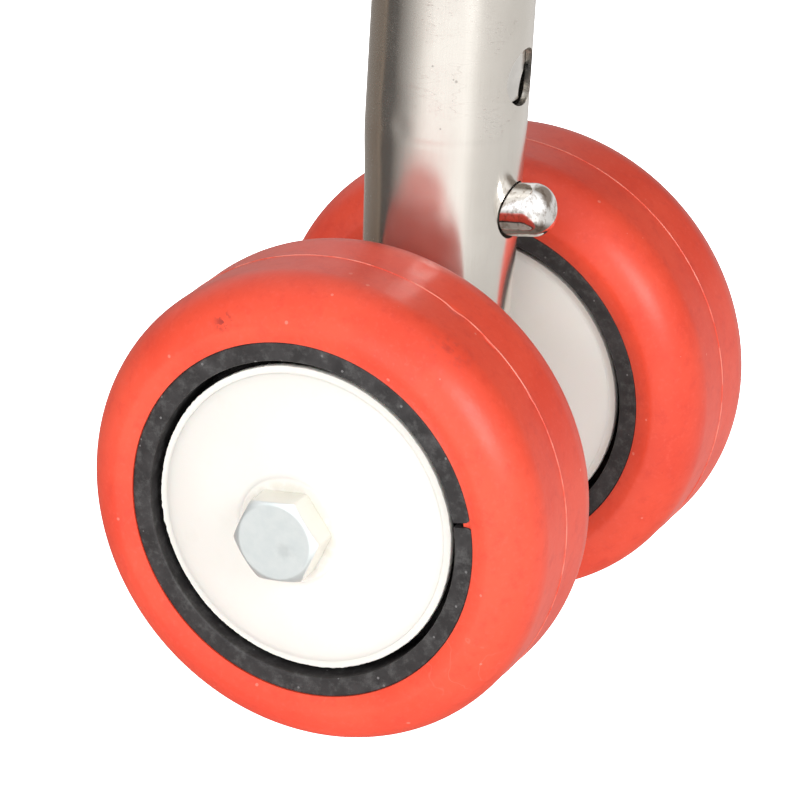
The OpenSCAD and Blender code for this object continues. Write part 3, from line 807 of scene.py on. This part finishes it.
def make_leg(material):
    """Necked tube with rounded ends, the button hole, the spare hole and the axle holes."""
    count = 150
    edge = 0.15 * MM
    bore_top = TUBE_R - TUBE_WALL
    bore_low = NECK_R - TUBE_WALL
    heights = [LEG_FOOT + (LEG_TOP - LEG_FOOT) * k / count for k in range(1, count)]
    heights = [LEG_FOOT + 0.25 * MM] + heights + [LEG_TOP - 0.35 * MM]
    outer = [(leg_radius(LEG_FOOT) - 0.2 * MM, LEG_FOOT)]
    outer += [(leg_radius(z), z) for z in heights]
    outer += [(TUBE_R - 0.1 * MM, LEG_TOP - 0.1 * MM), (TUBE_R - 0.35 * MM, LEG_TOP)]
    inner = [(bore_top + edge, LEG_TOP), (bore_top, LEG_TOP - edge), (bore_top, NECK_TOP)]
    inner += [(bore_low, NECK_BOTTOM), (bore_low, LEG_FOOT + edge), (bore_low + edge, LEG_FOOT)]

    def shape(r, z, angle, index):
        on_skin = 0 < index <= len(heights)
        return (leg_skin(angle, z), z) if on_skin else (r, z)

    mesh = bmesh.new()
    spin(mesh, outer + inner, Matrix.Identity(4), segments=288, shape=shape)
    obj = piece("leg_pipe", mesh, material, "leg", "leg_tube", weighted=False)
    across = Matrix.Rotation(math.pi / 2, 4, "Y")
    along = Matrix.Rotation(math.pi / 2, 4, "X")
    holes = [cylinder(HOLE_R, 2 * TUBE_R, Matrix.Translation((TUBE_R, 0, z)) @ across)
        for z in (BUTTON_Z, SPARE_Z)]
    holes.append(cylinder(BORE_R + 0.1 * MM, 4 * TUBE_R, Matrix.Translation((0, 0, AXLE_Z)) @ along))
    cut(obj, holes)
    obj.data.shade_smooth()
    leg_normals(obj.data)
    return obj


def make_liner(material):
    """Drawn tube inside the upper leg, with a notch in its lower edge seen through the spare hole."""
    outer = (liner_high.x - liner_low.x) / 2
    inner = outer - 1.0 * MM
    edge = 0.15 * MM
    low, high = liner_low.z, liner_high.z
    corners = [(inner, low, edge), (outer, low, edge), (outer, high, edge), (inner, high, edge)]
    mesh = bmesh.new()
    spin(mesh, rounded(corners, steps=3), Matrix.Identity(4), segments=192)
    obj = piece("liner_pipe", mesh, material, "leg", "liner_tube", weighted=False)
    notch_r = 3.9 * MM
    notch_at = Matrix.Translation((outer, 4.4 * MM, SPARE_Z - 3.2 * MM))
    cut(obj, [cylinder(notch_r, outer, notch_at @ Matrix.Rotation(math.pi / 2, 4, "Y"))])
    smooth(obj)
    return obj


def make_button(material):
    """Domed plunger with its flange and round nose, tilted upwards in its hole."""
    flange_r = BUTTON_R + 1.3 * MM
    flange_t = 1 * MM
    edge = 0.2 * MM
    nose_r = 2 * MM
    axis_r = 0.01 * MM
    inside = BUTTON_HOLE_X - TUBE_WALL / 2 - 0.1 * MM
    flange_at = math.sqrt(inside ** 2 - flange_r ** 2) - 0.3 * MM - BUTTON_HOLE_X
    dome_r = BUTTON_R - BUTTON_DOME
    profile = [(axis_r, BUTTON_OUT), (dome_r / 3, BUTTON_OUT), (dome_r * 2 / 3, BUTTON_OUT)]
    profile += arc(dome_r, BUTTON_OUT - BUTTON_DOME, BUTTON_DOME, 90, 0, steps=30)
    profile += [(BUTTON_R, (BUTTON_OUT - BUTTON_DOME + flange_at) / 2), (BUTTON_R, flange_at + edge)]
    profile += [(BUTTON_R + edge, flange_at), (flange_r - edge, flange_at), (flange_r, flange_at - edge)]
    profile += [(flange_r, flange_at - flange_t + edge), (flange_r - edge, flange_at - flange_t)]
    profile += [(nose_r * 0.98, flange_at - flange_t)]
    profile += arc(0, flange_at - 1.4 * MM, nose_r, 11.5, -89.5, steps=14)
    profile = [(max(r, axis_r), z) for r, z in profile]
    tilt = Matrix.Rotation(math.pi / 2 - BUTTON_TILT, 4, "Y")
    mesh = bmesh.new()
    spin(mesh, profile, Matrix.Translation((BUTTON_HOLE_X, 0, BUTTON_Z)) @ tilt, segments=192)
    return piece("button_dome", mesh, material, "button", "snap_button")


def dress(node, material):
    """Gives a carried-over CAD node its material."""
    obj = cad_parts[node]
    if not obj.material_slots:
        obj.data.materials.append(material)
    for slot in obj.material_slots:
        slot.material = material


rubber = red_rubber()
plastic = black_plastic()
ivory = ivory_plastic()
leg_steel = leg_metal()
zinc = plain_metal(
    "zinc_steel", light=(0.83, 0.875, 0.865), dark=(0.77, 0.825, 0.82), gloss=(0.34, 0.46), grain=420,
    metallic=0.66, flank=(0.88, 0.885, 0.825))
liner_steel = plain_metal(
    "liner_steel", light=(0.86, 0.84, 0.80), dark=(0.76, 0.74, 0.70), gloss=(0.22, 0.36), grain=260)
spring_steel = plain_metal(
    "spring_steel", light=(0.52, 0.52, 0.54), dark=(0.38, 0.38, 0.40), gloss=(0.28, 0.45), grain=500)
turned_steel = plain_metal(
    "spacer_steel", light=(0.66, 0.66, 0.68), dark=(0.55, 0.55, 0.57), gloss=(0.22, 0.38), grain=600)
bearing_steel = plain_metal(
    "bearing_steel", light=(0.76, 0.76, 0.78), dark=(0.64, 0.64, 0.67), gloss=(0.10, 0.22), grain=700,
    depth=0.005 * MM)
chrome = chrome_plate()

for side, wheel in ((-1, "near"), (1, "far")):
    body = wheel + "_wheel"
    make_tyre("tread_" + wheel, side, body, rubber)
    make_core("rim_" + wheel, side, body, plastic)
    make_guard("cap_outer_" + wheel, side, False, ivory, 3.0 + side)
    make_guard("cap_inner_" + wheel, side, True, ivory, 12.0 + side)
    make_washer("washer_" + wheel, "leg_washer_" + wheel, zinc)
    dress("spacer_" + wheel, turned_steel)
    for place in ("a", "b"):
        for kind in ("race_out", "race_in", "balls"):
            dress("%s_%s_%s" % (kind, place, wheel), bearing_steel)
make_bolt(zinc)
make_nut(zinc)
make_washer("washer_nut", "nut_washer", zinc)
make_leg(leg_steel)
make_liner(liner_steel)
make_button(chrome)
dress("spring_arm", spring_steel)
dress("spring_back", spring_steel)

# ---------------------------------------------------------------- camera, floor and light
CAMERA_AT = (0.28934, -0.66015, 0.20472)
AZIMUTH = math.radians(24.029)
ELEVATION = math.radians(23.385)
ROLL = math.radians(3.448)
LENS_MM = 221.6
SENSOR_MM = 36.0
FLOOR_SIZE = 8.0

# what shiny surfaces mirror round the horizon: degrees from +X, brightness, warmth
ROOM = (
    (-180, 0.10, 0.24), (-174, 0.24, 0.25), (-168, 0.04, 0.2), (-150, 0.04, 0.12), (-142, 0.16, 0.08),
    (-127, 0.38, 0.04), (-112, 0.72, 0.03), (-100, 1.08, 0.02), (-90, 1.24, 0.01), (-40, 1.24, 0.01),
    (-24, 0.93, 0.02), (-10, 0.83, 0.02), (20, 0.74, 0.02), (50, 0.70, 0.02), (80, 0.76, 0.02),
    (118, 0.50, 0.05), (140, 0.24, 0.10), (172, 0.16, 0.22))

scene = bpy.context.scene
scene.view_settings.view_transform = "Standard"


def make_camera():
    """A long lens at the photograph's viewing angle."""
    data = bpy.data.cameras.new("camera")
    data.lens = LENS_MM
    data.sensor_width = SENSOR_MM
    data.clip_start = 0.05
    data.clip_end = 20.0
    camera = bpy.data.objects.new("camera", data)
    scene.collection.objects.link(camera)
    scene.camera = camera
    aim = Matrix.Rotation(AZIMUTH, 4, "Z") @ Matrix.Rotation(math.pi / 2 - ELEVATION, 4, "X")
    camera.matrix_world = Matrix.Translation(CAMERA_AT) @ aim @ Matrix.Rotation(ROLL, 4, "Z")


def make_floor():
    """A plain pale floor. It looks near white and throws a softer light up at the wheels."""
    bpy.ops.mesh.primitive_plane_add(size=FLOOR_SIZE, location=(0, 0, tyre_low.z))
    floor = bpy.context.object
    floor.name = "floor"
    floor.visible_glossy = False
    p = Paint("floor", Roughness=0.9, Specular_IOR_Level=0.0)
    p.set("Base Color", (0.5, 0.5, 0.5))
    p.set("Emission Color", (1.0, 1.0, 1.0))
    seen = p.node("ShaderNodeLightPath").outputs["Is Camera Ray"]
    p.set("Emission Strength", p.blend(seen, 0.85, 2.2))
    floor.data.materials.append(p.material)


def make_world():
    """Soft white light for matt surfaces, brighter in front, and a white backdrop for the camera.

    Shiny surfaces see a bright front, a grey right and a dark left rear. The sky above these is white in
    front, dark at the far left, and goes behind from pale on the left to brown on the right.
    """
    world = bpy.data.worlds.new("studio")
    scene.world = world
    world.use_nodes = True
    tree = world.node_tree
    nodes, links = tree.nodes, tree.links
    nodes.clear()

    def ramped(value, low, high):
        step = nodes.new("ShaderNodeMapRange")
        step.inputs["From Min"].default_value = low
        step.inputs["From Max"].default_value = high
        links.new(value, step.inputs["Value"])
        return step.outputs[0]

    def mixed(amount, a, b):
        both = nodes.new("ShaderNodeMix")
        both.data_type = "RGBA"
        links.new(amount, both.inputs[0])
        for index, colour in ((6, a), (7, b)):
            if isinstance(colour, tuple):
                both.inputs[index].default_value = (*colour, 1)
            else:
                links.new(colour, both.inputs[index])
        return both.outputs[2]

    parts = nodes.new("ShaderNodeSeparateXYZ")
    links.new(nodes.new("ShaderNodeTexCoord").outputs["Generated"], parts.inputs[0])
    x, y, up = parts.outputs
    turn = nodes.new("ShaderNodeMath")
    turn.operation = "ARCTAN2"
    links.new(y, turn.inputs[0])
    links.new(x, turn.inputs[1])
    ramp = nodes.new("ShaderNodeValToRGB")
    links.new(ramped(turn.outputs[0], -math.pi, math.pi), ramp.inputs[0])
    stops = ramp.color_ramp.elements
    while len(stops) < len(ROOM):
        stops.new(0.5)
    for stop, (angle, bright, warm) in zip(stops, ROOM):
        stop.position = (angle + 180) / 360
        stop.color = (bright, bright * (1 - warm), bright * (1 - 1.8 * warm), 1)
    horizon = mixed(ramped(up, -0.45, -0.75), ramp.outputs[0], (0.16, 0.12, 0.10))
    sky_behind = mixed(ramped(x, -0.35, -0.05), (0.90, 0.88, 0.88), (0.26, 0.22, 0.19))
    sky_ahead = mixed(ramped(x, -0.60, -0.90), (1.25, 1.25, 1.27), (0.20, 0.17, 0.15))
    sky = mixed(ramped(y, 0.05, 0.45), sky_ahead, sky_behind)
    mirrored = mixed(ramped(up, 0.0, 0.20), horizon, sky)
    path = nodes.new("ShaderNodeLightPath")
    soft = mixed(ramped(y, -0.3, 0.4), (0.37, 0.37, 0.38), (0.22, 0.22, 0.23))
    plain = mixed(path.outputs["Is Camera Ray"], soft, (2.2, 2.2, 2.2))
    light = nodes.new("ShaderNodeBackground")
    links.new(mixed(path.outputs["Is Glossy Ray"], plain, mirrored), light.inputs[0])
    out = nodes.new("ShaderNodeOutputWorld")
    links.new(light.outputs[0], out.inputs[0])


def softbox(name, place, size, power, mirrored=True):
    """A square area light aimed at the wheels. Shiny parts see it only when mirrored is true."""
    data = bpy.data.lights.new(name, "AREA")
    data.size = size
    data.energy = power
    lamp = bpy.data.objects.new(name, data)
    scene.collection.objects.link(lamp)
    lamp.location = place
    lamp.visible_glossy = mirrored
    lamp.rotation_euler = (Vector((0, 0, AXLE_Z)) - place).to_track_quat("-Z", "Y").to_euler()


make_camera()
make_floor()
make_world()
softbox("front", Vector((0.05, -1.42, 0.36)), size=0.9, power=13.5, mirrored=False)
softbox("right", Vector((1.05, -0.80, 0.62)), size=0.5, power=9.5)
